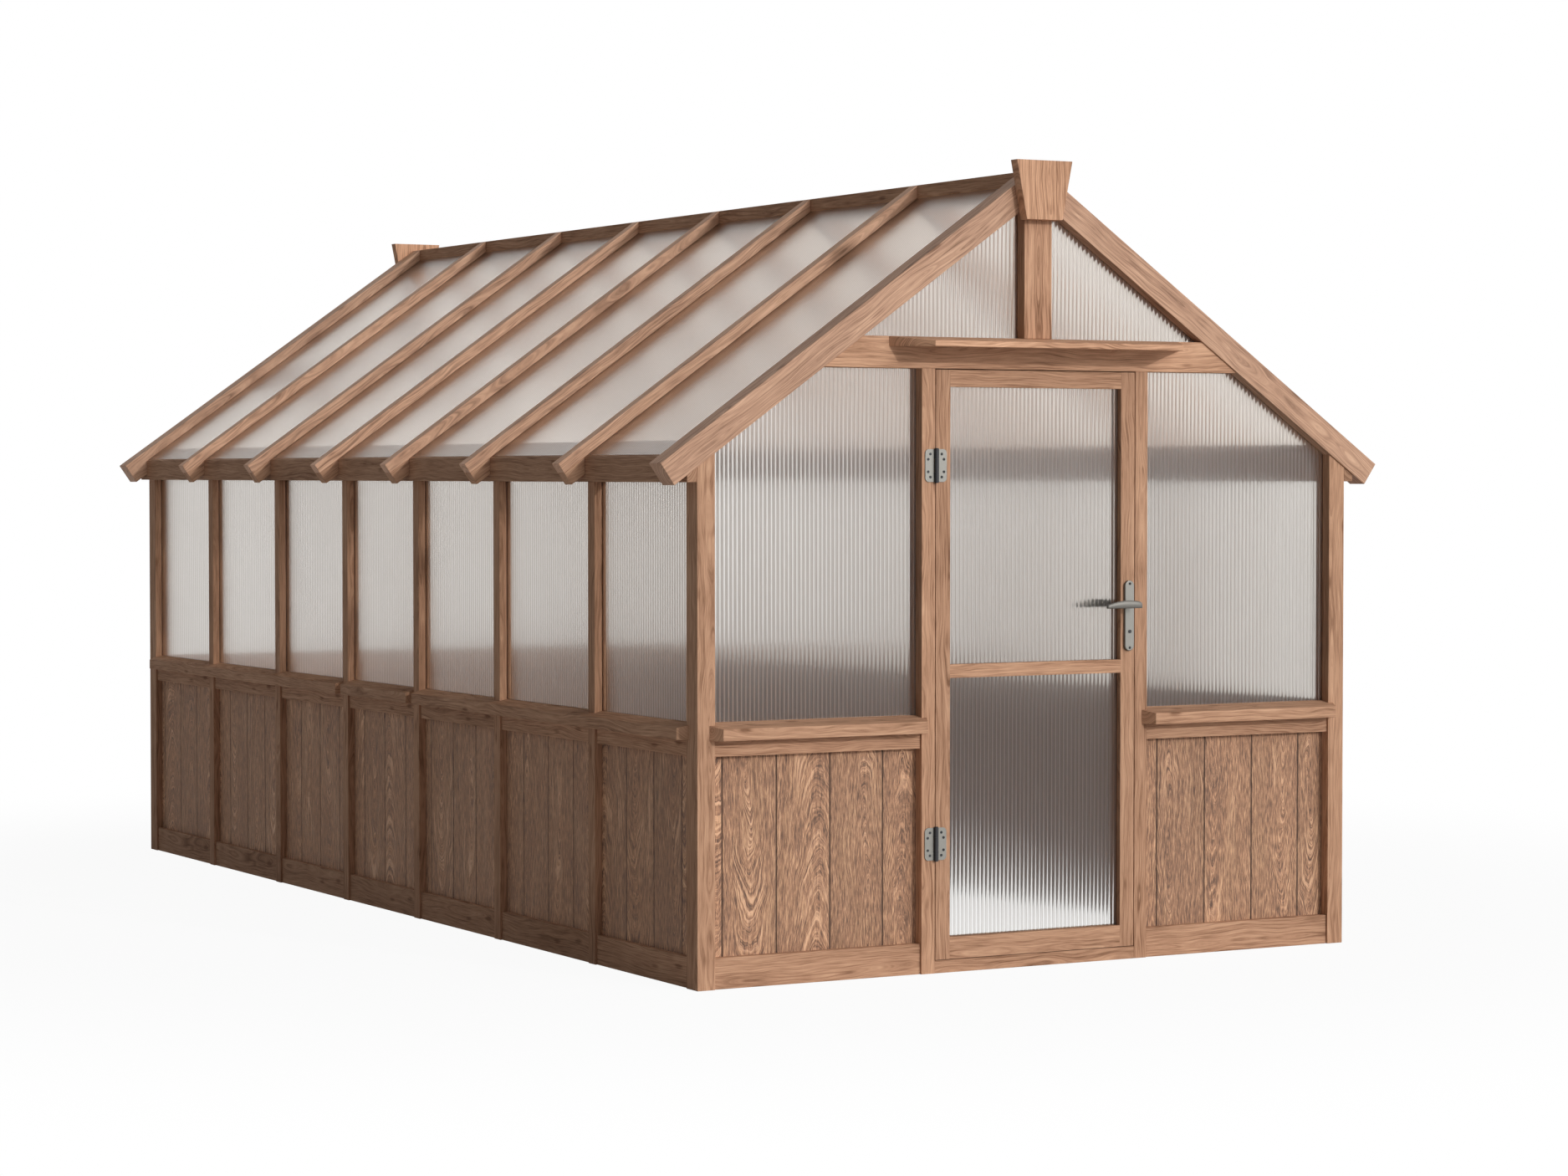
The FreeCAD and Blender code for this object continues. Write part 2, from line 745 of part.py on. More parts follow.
for name, pieces in (("rafters", rafters), ("rafter_caps", caps), ("roof_panes", roof_panes)):
    write("right_" + name, pieces)
    write("left_" + name, [opposite(p) for p in pieces])

# Hinges and strike
third = hinge_h * 0.3
post_knuckles = [(0, third - knuckle_gap), (hinge_h - third + knuckle_gap, hinge_h)]
door_knuckles = [(third, hinge_h - third)]
write("hinge_post_leaves", [hinge_leaf(foot, -1, post_knuckles) for foot in hinge_feet])
write("hinge_door_leaves", [hinge_leaf(foot, 1, door_knuckles) for foot in hinge_feet])
pins = []
for foot in hinge_feet:
    pin = rod(V(hinge_x, hinge_y, foot), Z_AXIS, pin_r, hinge_h)
    low_head = rod(V(hinge_x, hinge_y, foot - pin_r), Z_AXIS, 0.9 * knuckle_r, pin_r)
    high_head = rod(V(hinge_x, hinge_y, foot + hinge_h), Z_AXIS, 0.9 * knuckle_r, pin_r)
    pins.append(joined([pin, low_head, high_head]))
write("hinge_pins", pins)
post_screws = [screw(x, -hinge_leaf_t, foot + h, 1) for foot in hinge_feet for x, h in leaf_screws(-1)]
write("hinge_post_screws", post_screws)
strike = box(door_x, door_x + strike_t, strike_y0, strike_y1, strike_z0, strike_z1)
write("strike_plate", [less(strike, keeps)])

# Door leaf
door_pilots = [pilot(x, 0, foot + h, 1) for foot in hinge_feet for x, h in leaf_screws(1)]
write("door_hinge_stile", [less(opposite(stile()), door_pilots)])
plate_z1 = plate_z0 + plate_h
plate_screw_z = (plate_z0 + plate_screw_in, plate_z1 - plate_screw_in)
spindle_hole = rod(V(plate_x, -door_t, lever_z), Y_AXIS, spindle_hole_r, 3 * door_t)
turn_hole = rod(V(plate_x, -door_t, turn_z), Y_AXIS, turn_hole_r, 3 * door_t)
pocket = box(case_x0 - fit, door_half, case_y0 - fit, case_y1 + fit, case_z0 - fit, case_z1 + fit)
plate_pilots = [pilot(plate_x, 0, z, 1) for z in plate_screw_z]
plate_pilots.extend([to_inside(p) for p in plate_pilots])
write("door_lock_stile", [less(stile(), [pocket, spindle_hole, turn_hole] + plate_pilots)])
kick_z1 = door_z0 + kick_rail_h
door_mid_z1 = door_mid_z + door_mid_h
top_rail_z = door_z1 - top_rail_h
write("door_rails", [door_rail(door_z0, kick_z1, False, True), door_rail(door_mid_z, door_mid_z1, True, True),
                     door_rail(top_rail_z, door_z1, True, False)])
write("door_panes", [door_pane(kick_z1, door_mid_z), door_pane(door_mid_z1, top_rail_z)])
latch_room = bolt_box(latch_x0 - latch_throw - bolt_gap, door_half, latch_z, bolt_gap)
dead_room = bolt_box(dead_x0 - bolt_gap, door_half, dead_z, bolt_gap)
case = box(case_x0, door_half, case_y0, case_y1, case_z0, case_z1)
write("lock_case", [less(case, [spindle_hole, turn_hole, latch_room, dead_room])])
plate_half = plate_w / 2
plate_ends = (plate_z0 + plate_half, plate_z1 - plate_half)
plate_middle = box(plate_x - plate_half, plate_x + plate_half, -plate_t, 0, *plate_ends)
round_ends = [rod(V(plate_x, -plate_t, z), Y_AXIS, plate_half, plate_t) for z in plate_ends]
handle_plate = joined([plate_middle] + round_ends)
plate_rim = [e for e in handle_plate.Edges if e.BoundBox.YMax < -0.99 * plate_t]
handle_plate = handle_plate.makeFillet(plate_edge_r, plate_rim)
screw_holes = [rod(V(plate_x, -door_t, z), Y_AXIS, screw_r + fit, 2 * door_t) for z in plate_screw_z]
handle_plate = less(handle_plate, [spindle_hole, turn_hole] + screw_holes)
write("handle_plates", [handle_plate, to_inside(handle_plate)])
plate_screws = [screw(plate_x, -plate_t, z, 1) for z in plate_screw_z]
plate_screws.extend([to_inside(s) for s in plate_screws])
hinge_screws = [screw(x, -hinge_leaf_t, foot + h, 1) for foot in hinge_feet for x, h in leaf_screws(1)]
write("door_screws", hinge_screws + plate_screws)

# Lever, latch, turn and dead bolt
inner_end = door_t + plate_t + 0.6 * lever_stand
spindle = square_bar(lever_z, spindle_side, -0.6 * lever_stand, inner_end)
write("outer_lever", [joined([lever(), spindle])])
socket = square_bar(lever_z, spindle_side + 2 * fit, door_t, inner_end + fit)
write("inner_lever", [less(to_inside(lever()), [socket])])
latch_tip = door_half + latch_out
latch_plan = [(latch_x0, bolt_y0), (latch_tip, bolt_y0), (latch_tip, bolt_y0 + bolt_t / 6),
              (latch_tip - 0.8 * latch_out, bolt_y1), (latch_x0, bolt_y1)]
write("latch_bolt", [along_z(latch_plan, latch_z - bolt_h / 2, latch_z + bolt_h / 2)])
coin_face = -plate_t - hub_gap - coin_t
coin = rod(V(plate_x, coin_face, turn_z), Y_AXIS, coin_r, coin_t)
slot = box(plate_x - coin_r, plate_x + coin_r, coin_face, coin_face + coin_t / 2,
           turn_z - coin_slot / 2, turn_z + coin_slot / 2)
turn_foot = door_t + plate_t + hub_gap
turn_end = turn_foot + 0.7 * turn_boss_h
turn_bar = square_bar(turn_z, turn_side, coin_face + coin_t / 2, turn_end)
write("coin_release", [joined([less(coin, [slot]), turn_bar])])
boss = rod(V(plate_x, turn_foot, turn_z), Y_AXIS, turn_boss_r, turn_boss_h)
grip = box(plate_x - turn_grip_t / 2, plate_x + turn_grip_t / 2, turn_foot + 0.5 * turn_boss_h,
           turn_foot + turn_boss_h + turn_grip_d, turn_z - turn_grip_h / 2, turn_z + turn_grip_h / 2)
turn_socket = square_bar(turn_z, turn_side + 2 * fit, door_t, turn_end + fit)
write("thumb_turn", [less(joined([boss, grip]), [turn_socket])])
write("dead_bolt", [bolt_box(dead_x0, door_half - dead_in, dead_z, 0.0)])
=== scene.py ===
"""Looks of a wooden gable greenhouse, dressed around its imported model."""

import bisect
import logging
import math
import random
from dataclasses import dataclass, field
from enum import Enum
from typing import Iterator, Mapping, Optional, Union

import bmesh
import bpy
from mathutils import Matrix, Vector

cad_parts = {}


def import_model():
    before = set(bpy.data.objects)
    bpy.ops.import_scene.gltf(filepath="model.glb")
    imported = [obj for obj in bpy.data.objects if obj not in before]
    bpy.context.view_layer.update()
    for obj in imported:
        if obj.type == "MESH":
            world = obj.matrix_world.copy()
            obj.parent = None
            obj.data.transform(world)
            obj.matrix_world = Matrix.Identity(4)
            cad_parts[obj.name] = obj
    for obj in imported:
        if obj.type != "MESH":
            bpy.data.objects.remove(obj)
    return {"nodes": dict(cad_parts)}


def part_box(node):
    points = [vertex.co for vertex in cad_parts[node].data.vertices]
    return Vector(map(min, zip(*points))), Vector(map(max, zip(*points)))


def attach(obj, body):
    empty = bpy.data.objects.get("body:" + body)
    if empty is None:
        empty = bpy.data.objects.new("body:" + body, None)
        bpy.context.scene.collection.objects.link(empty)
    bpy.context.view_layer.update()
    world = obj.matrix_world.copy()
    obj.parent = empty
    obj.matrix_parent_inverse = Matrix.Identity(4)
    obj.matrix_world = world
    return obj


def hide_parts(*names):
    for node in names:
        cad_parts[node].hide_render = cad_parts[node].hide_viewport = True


LOG = logging.getLogger("greenhouse")
PITCH = math.radians(35)
X_AXIS = Vector((1, 0, 0))
Y_AXIS = Vector((0, 1, 0))

# Tolerances, in metres and radians
WELD = 0.00001
NUDGE = 0.0005
FLAT = math.radians(1)
SHARP = math.radians(25)
FACING = 0.9

Triple = tuple[float, float, float]
Colour = Triple
Value = Union["Socket", float]


def srgb(red: int, green: int, blue: int) -> Colour:
    """Linear colour of an 8-bit display colour.

    Args:
        red: Red level, 0 to 255.
        green: Green level, 0 to 255.
        blue: Blue level, 0 to 255.

    Returns:
        The three linear levels.
    """
    levels = [level / 255 for level in (red, green, blue)]
    return tuple(v / 12.92 if v < 0.04045 else ((v + 0.055) / 1.055) ** 2.4 for v in levels)


class Socket:
    """A shader output that takes part in Python expressions."""

    def __init__(self, graph: "Graph", link: bpy.types.NodeSocket) -> None:
        """Wraps one output socket of a graph."""
        self.graph = graph
        self.link = link

    def __add__(self, other: Value) -> "Socket":
        """Sum of two values."""
        return self.graph.maths("ADD", self, other)

    def __radd__(self, other: float) -> "Socket":
        """Sum of a number and this value."""
        return self.graph.maths("ADD", other, self)

    def __sub__(self, other: Value) -> "Socket":
        """Difference of two values."""
        return self.graph.maths("SUBTRACT", self, other)

    def __rsub__(self, other: float) -> "Socket":
        """A number less this value."""
        return self.graph.maths("SUBTRACT", other, self)

    def __mul__(self, other: Value) -> "Socket":
        """Product of two values."""
        return self.graph.maths("MULTIPLY", self, other)

    def __rmul__(self, other: float) -> "Socket":
        """Product of a number and this value."""
        return self.graph.maths("MULTIPLY", other, self)

    def __truediv__(self, other: Value) -> "Socket":
        """Quotient of two values."""
        return self.graph.maths("DIVIDE", self, other)

    def __rtruediv__(self, other: float) -> "Socket":
        """A number over this value."""
        return self.graph.maths("DIVIDE", other, self)

    def __pow__(self, other: Value) -> "Socket":
        """This value raised to a power."""
        return self.graph.maths("POWER", self, other)

    def fraction(self) -> "Socket":
        """Part of the value behind the point."""
        return self.graph.maths("FRACT", self)

    def size(self) -> "Socket":
        """Value without its sign."""
        return self.graph.maths("ABSOLUTE", self)

    def largest(self, other: Value) -> "Socket":
        """The larger of two values."""
        return self.graph.maths("MAXIMUM", self, other)

    def between(self, low: float, high: float) -> "Socket":
        """Smooth step from 0 at low to 1 at high."""
        return self.graph.node(
            "ShaderNodeMapRange",
            {"interpolation_type": "SMOOTHSTEP"},
            {"Value": self, "From Min": low, "From Max": high},
        )


class Graph:
    """Node tree of one material, emptied and ready for its nodes."""

    def __init__(self, tree: bpy.types.NodeTree) -> None:
        """Clears a node tree and takes it over."""
        self.tree = tree
        tree.nodes.clear()

    def node(
        self,
        kind: str,
        settings: Optional[Mapping[str, object]] = None,
        inputs: Optional[Mapping[Union[str, int], object]] = None,
        output: Union[str, int] = 0,
    ) -> Optional[Socket]:
        """Adds a node, sets it, and feeds its sockets.

        Args:
            kind: Type of the node.
            settings: Properties of the node; stops are those of a colour ramp.
            inputs: Values or sockets for its inputs, by name or number.
            output: Name or number of the output that is wanted.

        Returns:
            The wanted output, or nothing where the node has none.
        """
        made = self.tree.nodes.new(kind)
        for name, value in (settings or {}).items():
            if name == "stops":
                self.set_stops(made.color_ramp, value)
            else:
                setattr(made, name, value)
        for name, value in (inputs or {}).items():
            socket = made.inputs[name]
            if isinstance(value, Socket):
                self.tree.links.new(value.link, socket)
            else:
                socket.default_value = value
        return Socket(self, made.outputs[output]) if made.outputs else None

    def set_stops(self, ramp: bpy.types.ColorRamp, stops: list[tuple[float, Colour]]) -> None:
        """Gives a colour ramp its stops.

        Args:
            ramp: The ramp to fill.
            stops: Place and colour of each stop, from low to high.
        """
        while len(ramp.elements) < len(stops):
            ramp.elements.new(1.0)
        for element, (place, colour) in zip(ramp.elements, stops):
            element.position = place
            element.color = (*colour, 1.0)

    def maths(self, operation: str, first: Value, second: Value = 0.0) -> Socket:
        """One step of arithmetic on values."""
        return self.node("ShaderNodeMath", {"operation": operation}, {0: first, 1: second})

    def noise(self, where: Socket, stretch: Triple, detail: float = 2.0, seed: Value = 0.0) -> Socket:
        """Noise with its own scale along each axis.

        Args:
            where: Place on the piece, in metres.
            stretch: Waves per metre along each axis.
            detail: Octaves of finer noise.
            seed: Value that sets one piece apart from the next.

        Returns:
            Noise from 0 to 1.
        """
        scaled = self.node("ShaderNodeVectorMath", {"operation": "MULTIPLY"}, {0: where, 1: stretch})
        inputs = {"Vector": scaled, "W": seed, "Scale": 1.0, "Detail": detail, "Roughness": 0.55}
        return self.node("ShaderNodeTexNoise", {"noise_dimensions": "4D"}, inputs)

    def blend(self, share: Value, low: object, high: object) -> Socket:
        """Mix of two colours.

        Args:
            share: Share of the second colour.
            low: First colour, or a socket that gives it.
            high: Second colour, or a socket that gives it.

        Returns:
            The mixed colour.
        """
        pair = [value if isinstance(value, Socket) else (*value, 1.0) for value in (low, high)]
        return self.node("ShaderNodeMix", {"data_type": "RGBA"}, {0: share, 6: pair[0], 7: pair[1]}, 2)

    def surface(self, shader: Socket) -> None:
        """Sends a shader to the output."""
        self.node("ShaderNodeOutputMaterial", None, {"Surface": shader})


def new_graph(name: str) -> tuple[bpy.types.Material, Graph]:
    """Makes an empty material.

    Args:
        name: Name of the material.

    Returns:
        The material and its graph.
    """
    material = bpy.data.materials.new(name)
    material.use_nodes = True
    return material, Graph(material.node_tree)


class Grain(Enum):
    """Run of a timber's fibres, as the turn that lays them along Z."""

    UPRIGHT = (0.0, 0.0, 0.0)
    UPRIGHT_SIDE = (0.0, 0.0, -math.pi / 2)
    ACROSS = (0.0, -math.pi / 2, 0.0)
    ALONG = (math.pi / 2, 0.0, 0.0)
    LEFT_SLOPE = (0.0, PITCH - math.pi / 2, 0.0)
    RIGHT_SLOPE = (0.0, -PITCH - math.pi / 2, 0.0)
    BOTH_SLOPES = "each timber along its own slope"


class GrowthField:
    """Sockets that follow the growth rings of the timber under a point."""

    def __init__(self, graph: Graph, grain: Grain) -> None:
        """Reads where a point lies in its own timber, with the fibres along Z."""
        self.graph = graph
        where = graph.node("ShaderNodeTexCoord", output="Object")
        middle = graph.node("ShaderNodeAttribute", {"attribute_name": "timber_middle"}, output="Vector")
        local = graph.node("ShaderNodeVectorMath", {"operation": "SUBTRACT"}, {0: where, 1: middle})
        self.place = graph.node("ShaderNodeMapping", None, {"Vector": local, "Rotation": grain.value})
        self.lot = graph.node("ShaderNodeAttribute", {"attribute_name": "timber_lot"}, output="Fac")
        self.seed = self.lot * 60
        axes = graph.node("ShaderNodeSeparateXYZ", None, {0: self.place}).link.node.outputs
        self.across, self.deep, self.along = (Socket(graph, axis) for axis in axes)
        self.radius = self.across

    def draw(self, number: float) -> Socket:
        """A value from 0 to 1 that is the same all over one timber."""
        return (self.lot * number).fraction()

    def grow(self, flank: Socket, depth: Socket) -> None:
        """Sets the rings around a pith at a sideways and an inward distance."""
        self.radius = (flank * flank + depth * depth) ** 0.5

    def cloud(self, stretch: Triple, shift: float, detail: float = 2.0) -> Socket:
        """Noise over the timber, from 0 to 1, with its own scale along each axis."""
        return self.graph.noise(self.place, stretch, detail, self.seed + shift)

    def lines(self, rings: float, breaks: float, detail: float = 3.0) -> Socket:
        """Uneven lines that follow the rings.

        Args:
            rings: Lines per metre across the rings.
            breaks: Changes per metre along the fibres.
            detail: Octaves of finer lines.

        Returns:
            Noise from 0 to 1.
        """
        inputs = {"X": self.radius, "Y": self.lot, "Z": self.along}
        where = self.graph.node("ShaderNodeCombineXYZ", None, inputs)
        return self.graph.noise(where, (rings, 9.0, breaks), detail, self.seed)


@dataclass(frozen=True)
class PlanedTimber:
    """Planed and oiled timber with a soft, broad grain."""

    grain: Grain
    light: Colour = srgb(208, 166, 135)
    body: Colour = srgb(182, 140, 112)
    dark: Colour = srgb(132, 96, 73)
    paler: float = 0.0
    sheen: float = 0.08
    relief: float = 0.0005
    ring_lines: float = 190.0
    pore_lines: float = 400.0

    def material(self) -> bpy.types.Material:
        """Makes the material.

        Returns:
            The finished material.
        """
        material, graph = new_graph(f"planed_timber_{self.grain.name.lower()}_{self.paler:g}_{self.sheen:g}")
        growth = GrowthField(graph, self.grain)
        sway = growth.cloud((7, 7, 2.4), 0) - 0.5
        bend = growth.cloud((7, 7, 2.4), 9) - 0.5
        flank = growth.across + growth.lot * 0.08 - 0.04 + sway * 0.07
        depth = growth.deep + growth.draw(7.3) * 0.05 + 0.012 + growth.along * 0.012 + bend * 0.06
        growth.grow(flank, depth)
        lines = growth.lines(self.ring_lines, 1.6)
        pores = growth.lines(self.pore_lines, 12, 3)
        cloud = growth.cloud((10, 10, 3), 5)
        knot = self.knots(growth)
        tone = 0.5 + (lines - 0.5) * 0.95 + (pores - 0.5) * 1.3 + (cloud - 0.5) * 0.5 - knot * 0.35
        stops = [(0.14, self.dark), (0.5, self.body), (0.86, self.light)]
        colour = graph.node("ShaderNodeValToRGB", {"stops": stops}, {"Fac": tone})
        # paler lifts or lowers the whole timber; the eaves use it for painted shade, the caps and gable
        # rafters for painted light
        shade = 0.94 + self.paler + growth.lot * 0.12
        colour = graph.node("ShaderNodeHueSaturation", None, {"Value": shade, "Color": colour})
        height = pores * 0.6 + lines * 0.5 - knot * 0.3
        bump = {"Strength": 0.6, "Distance": self.relief, "Height": height}
        graph.surface(
            graph.node(
                "ShaderNodeBsdfPrincipled",
                None,
                {
                    "Base Color": colour,
                    "Roughness": 0.74 - tone * 0.2,
                    "Specular IOR Level": self.sheen,
                    "Normal": graph.node("ShaderNodeBump", None, bump),
                },
            )
        )
        return material

    def knots(self, growth: GrowthField) -> Socket:
        """Small dark eyes, scattered over the timber.

        Args:
            growth: Field of the timber.

        Returns:
            1 at the middle of a knot and 0 away from it.
        """
        graph = growth.graph
        stretch = {0: growth.place, 1: (13, 13, 4)}
        scaled = graph.node("ShaderNodeVectorMath", {"operation": "MULTIPLY"}, stretch)
        spots = graph.node("ShaderNodeTexVoronoi", None, {"Vector": scaled, "Scale": 1.0}, "Distance")
        return 1 - spots.between(0.03, 0.14)


@dataclass(frozen=True)
class BrushedBoard:
    """Flat-sawn board, brushed so that the growth rings stand out in arches, with painted shade in its V
    joints and painted highlights as light specks.
    """

    grain: Grain
    light: Colour = srgb(219, 171, 132)
    body: Colour = srgb(167, 122, 91)
    dark: Colour = srgb(90, 62, 45)
    # painted shade: colour of the shade that falls in the V joints between boards
    joint: Colour = srgb(58, 41, 31)
    # painted highlight: colour of light specks that stand in for glints on the boards
    speck: Colour = srgb(232, 184, 145)
    relief: float = 0.0014
    sheen: float = 0.9
    ring_lines: float = 300.0
    fine_lines: float = 620.0
    pore_lines: float = 700.0

    def material(self) -> bpy.types.Material:
        """Makes the material.

        Returns:
            The finished material.
        """
        material, graph = new_graph(f"brushed_board_{self.grain.name.lower()}")
        growth = GrowthField(graph, self.grain)
        sway = growth.cloud((6, 6, 3), 0) - 0.5
        wobble = growth.cloud((34, 34, 9), 4) - 0.5
        pith = growth.draw(5.7) * 0.14 - 0.07
        lean = growth.draw(11.3) * 0.16 + 0.12
        crown = growth.draw(17.9) * 2.4 - 1.2
        rise = ((growth.along - crown) * lean).size()
        growth.grow((growth.across - pith + sway * 0.1) * 2, rise + wobble * 0.014 + 0.004)
        lines = growth.lines(self.ring_lines, 3)
        fine = growth.lines(self.fine_lines, 16, 2)
        fibres = growth.cloud((230, 230, 34), 3, 4)
        pores = growth.lines(self.pore_lines, 90, 2)
        patch = growth.cloud((11, 11, 3.5), 8)
        marked = patch.between(0.4, 0.62) * 0.8 + 0.2
        crest = lines.between(0.5, 0.58) * (0.35 + fine * 1.1) * marked
        valley = (1 - lines.between(0.38, 0.48)) * marked
        # painted highlights: light specks on the pores and fibres
        speck = (pores * 0.6 + fibres * 0.4).between(0.54, 0.66)
        streaks = (fine - 0.5) * 1.2 + (fibres - 0.5) * 1.5
        tone = 0.45 + crest * 0.3 - valley * 0.24 + streaks + (patch - 0.5) * 0.5
        stops = [(0.1, self.dark), (0.5, self.body), (0.9, self.light)]
        colour = graph.node("ShaderNodeValToRGB", {"stops": stops}, {"Fac": tone})
        colour = graph.blend(speck * 0.5, colour, self.speck)
        # painted shade: the slanted faces of the V joints are darkened towards the joint colour
        joint = graph.node("ShaderNodeAttribute", {"attribute_name": "board_joint"}, output="Fac")
        colour = graph.blend(joint * 0.7, colour, self.joint)
        shade = 0.92 + growth.lot * 0.14
        colour = graph.node("ShaderNodeHueSaturation", None, {"Value": shade, "Color": colour})
        height = crest * 0.9 + fibres * 0.5 + speck * 0.2 - valley * 0.4
        bump = {"Strength": 0.8, "Distance": self.relief, "Height": height}
        graph.surface(
            graph.node(
                "ShaderNodeBsdfPrincipled",
                None,
                {
                    "Base Color": colour,
                    "Roughness": 0.82 - crest * 0.18,
                    "Specular IOR Level": self.sheen,
                    "Normal": graph.node("ShaderNodeBump", None, bump),
                },
            )
        )
        return material


class Across(Enum):
    """Direction across the flutes of a sheet."""

    X = 0
    Y = 1

    def vector(self) -> Vector:
        """Unit vector of the direction."""
        return (X_AXIS, Y_AXIS)[self.value]


@dataclass(frozen=True)
class FlutedSheet:
    """Fluted sheet, partly milky, with a web behind the crown of each flute.

    Shadow and diffuse rays pass through it, so that lamps light the inside.
    """

    name: str
    across: Across
    pitch: float
    bend: float
    web_from: float = 0.74
    web: Colour = srgb(174, 167, 160)
    tint: Colour = srgb(250, 249, 247)
    haze: Colour = srgb(240, 236, 232)
    gloss: float = 1.0
    milk: float = 0.28
    clear_rough: float = 0.05
    milky_rough: float = 0.28
    passes: Colour = (0.9, 0.89, 0.88)

    def material(self) -> bpy.types.Material:
        """Makes the material.

        Returns:
            The finished material.
        """
        material, graph = new_graph(self.name)
        where = graph.node("ShaderNodeTexCoord", output="Object")
        cloud = graph.noise(where, (3, 3, 3), 2)
        dust = graph.noise(where, (380, 380, 380), 1).between(0.66, 0.76)
        axes = graph.node("ShaderNodeSeparateXYZ", None, {0: where}).link.node.outputs
        turn = (Socket(graph, axes[self.across.value]) / self.pitch + 100).fraction()
        web = (1 - (turn - 0.5).size() * 2).between(self.web_from, self.web_from + 0.25)
        colour = graph.blend(cloud * 0.7 + dust * 0.3, self.tint, self.haze)
        inputs = {
            "Base Color": graph.blend(web, colour, self.web),
            "IOR": self.bend,
            "Specular Tint": (self.gloss, self.gloss, self.gloss, 1.0),
            "Transmission Weight": 1.0,
        }
        roughs = (self.clear_rough + cloud * 0.06, self.milky_rough + cloud * 0.04)
        clear, milky = (
            graph.node("ShaderNodeBsdfPrincipled", None, {**inputs, "Roughness": rough}) for rough in roughs
        )
        sheet = graph.node("ShaderNodeMixShader", None, {0: self.milk, 1: clear, 2: milky})
        paths = graph.node("ShaderNodeLightPath").link.node.outputs
        lit = Socket(graph, paths["Is Shadow Ray"]).largest(Socket(graph, paths["Is Diffuse Ray"]))
        through = graph.node("ShaderNodeBsdfTransparent", None, {"Color": (*self.passes, 1.0)})
        graph.surface(graph.node("ShaderNodeMixShader", None, {0: lit, 1: sheet, 2: through}))
        return material


@dataclass(frozen=True)
class SatinSteel:
    """Satin metal with a fine brushed lay and slight stains."""

    name: str = "satin_steel"
    body: Colour = srgb(110, 108, 103)
    worn: Colour = srgb(128, 126, 120)
    metal: float = 0.85
    rough: float = 0.42

    def material(self) -> bpy.types.Material:
        """Makes the material.

        Returns:
            The finished material.
        """
        material, graph = new_graph(self.name)
        where = graph.node("ShaderNodeTexCoord", output="Object")
        brush = graph.noise(where, (1400, 1400, 60), 2)
        stain = graph.noise(where, (45, 45, 45), 3)
        colour = graph.blend(brush * 0.5 + stain * 0.5, self.body, self.worn)
        bump = {"Strength": 0.2, "Distance": 0.0001, "Height": brush}
        graph.surface(
            graph.node(
                "ShaderNodeBsdfPrincipled",
                None,
                {
                    "Base Color": colour,
                    "Metallic": self.metal,
                    "Roughness": self.rough + (stain - 0.5) * 0.2,
                    "Normal": graph.node("ShaderNodeBump", None, bump),
                },
            )
        )
        return material


END_SHEET = FlutedSheet(
    "end_sheet",
    Across.X,
    pitch=0.0148,
    bend=1.4,
    web_from=0.66,
    web=srgb(180, 174, 168),
    tint=srgb(255, 255, 254),
    haze=srgb(248, 246, 244),
)
SIDE_SHEET = FlutedSheet("side_sheet", Across.Y, pitch=0.0162, bend=1.25, web_from=0.4, gloss=0.6)
ROOF_SHEET = FlutedSheet(
    "roof_sheet", Across.Y, pitch=0.0162, bend=1.2, tint=srgb(243, 231, 220), gloss=0.75
)
DARK_STEEL = SatinSteel("dark_steel", srgb(38, 38, 40), srgb(54, 54, 56), 0.5, 0.5)
LEVER_STEEL = SatinSteel("lever_steel", srgb(104, 101, 96), srgb(120, 117, 111), 0.5, 0.5)
BLACK_STEEL = SatinSteel("black_steel", srgb(16, 16, 17), srgb(26, 26, 28), 0.0, 0.75)


class Finishes:
    """Materials of the greenhouse, each made once."""

    def __init__(self) -> None:
        """Starts with an empty shelf."""
        self.shelf: dict[object, bpy.types.Material] = {}

    def get(self, finish: Union[PlanedTimber, BrushedBoard, FlutedSheet, SatinSteel]) -> bpy.types.Material:
        """Material of a finish.

        Args:
            finish: The finish that is wanted.

        Returns:
            Its material, made at the first call.
        """
        if finish not in self.shelf:
            self.shelf[finish] = finish.material()
        return self.shelf[finish]


def islands(work: bmesh.types.BMesh) -> Iterator[list[bmesh.types.BMFace]]:
    """Separate solids of a mesh.

    Args:
        work: The mesh.

    Yields:
        The faces of one solid after another.
    """
    left = set(work.faces)
    while left:
        first = next(face for face in work.faces if face in left)
        left.discard(first)
        found = [first]
        for face in found:
            for edge in face.edges:
                fresh = [near for near in edge.link_faces if near in left]
                left.difference_update(fresh)
                found.extend(fresh)
        yield found


def solids_of(node: bpy.types.Object, side: Optional[Vector] = None) -> bmesh.types.BMesh:
    """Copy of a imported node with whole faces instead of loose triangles.

    Args:
        node: The node's object.
        side: Direction in which the node's solids touch one another, if they do.

    Returns:
        The welded mesh.
    """
    work = bmesh.new()
    work.from_mesh(node.data)
    groups: dict[int, dict[bmesh.types.BMVert, None]] = {}
    limits: list[float] = []
    if side is not None:
        ends = [face for face in work.faces if abs(face.normal.dot(side)) > FACING]
        limits = sorted({round(face.calc_center_median().dot(side), 4) for face in ends})
    for face in work.faces:
        number = 0
        if side is not None:
            inward = face.normal.dot(side) * NUDGE
            number = bisect.bisect(limits, face.calc_center_median().dot(side) - inward)
        groups.setdefault(number, {}).update(dict.fromkeys(face.verts))
    for verts in groups.values():
        bmesh.ops.remove_doubles(work, verts=list(verts), dist=WELD)
    bmesh.ops.dissolve_limit(work, angle_limit=FLAT, verts=work.verts, edges=work.edges)
    return work


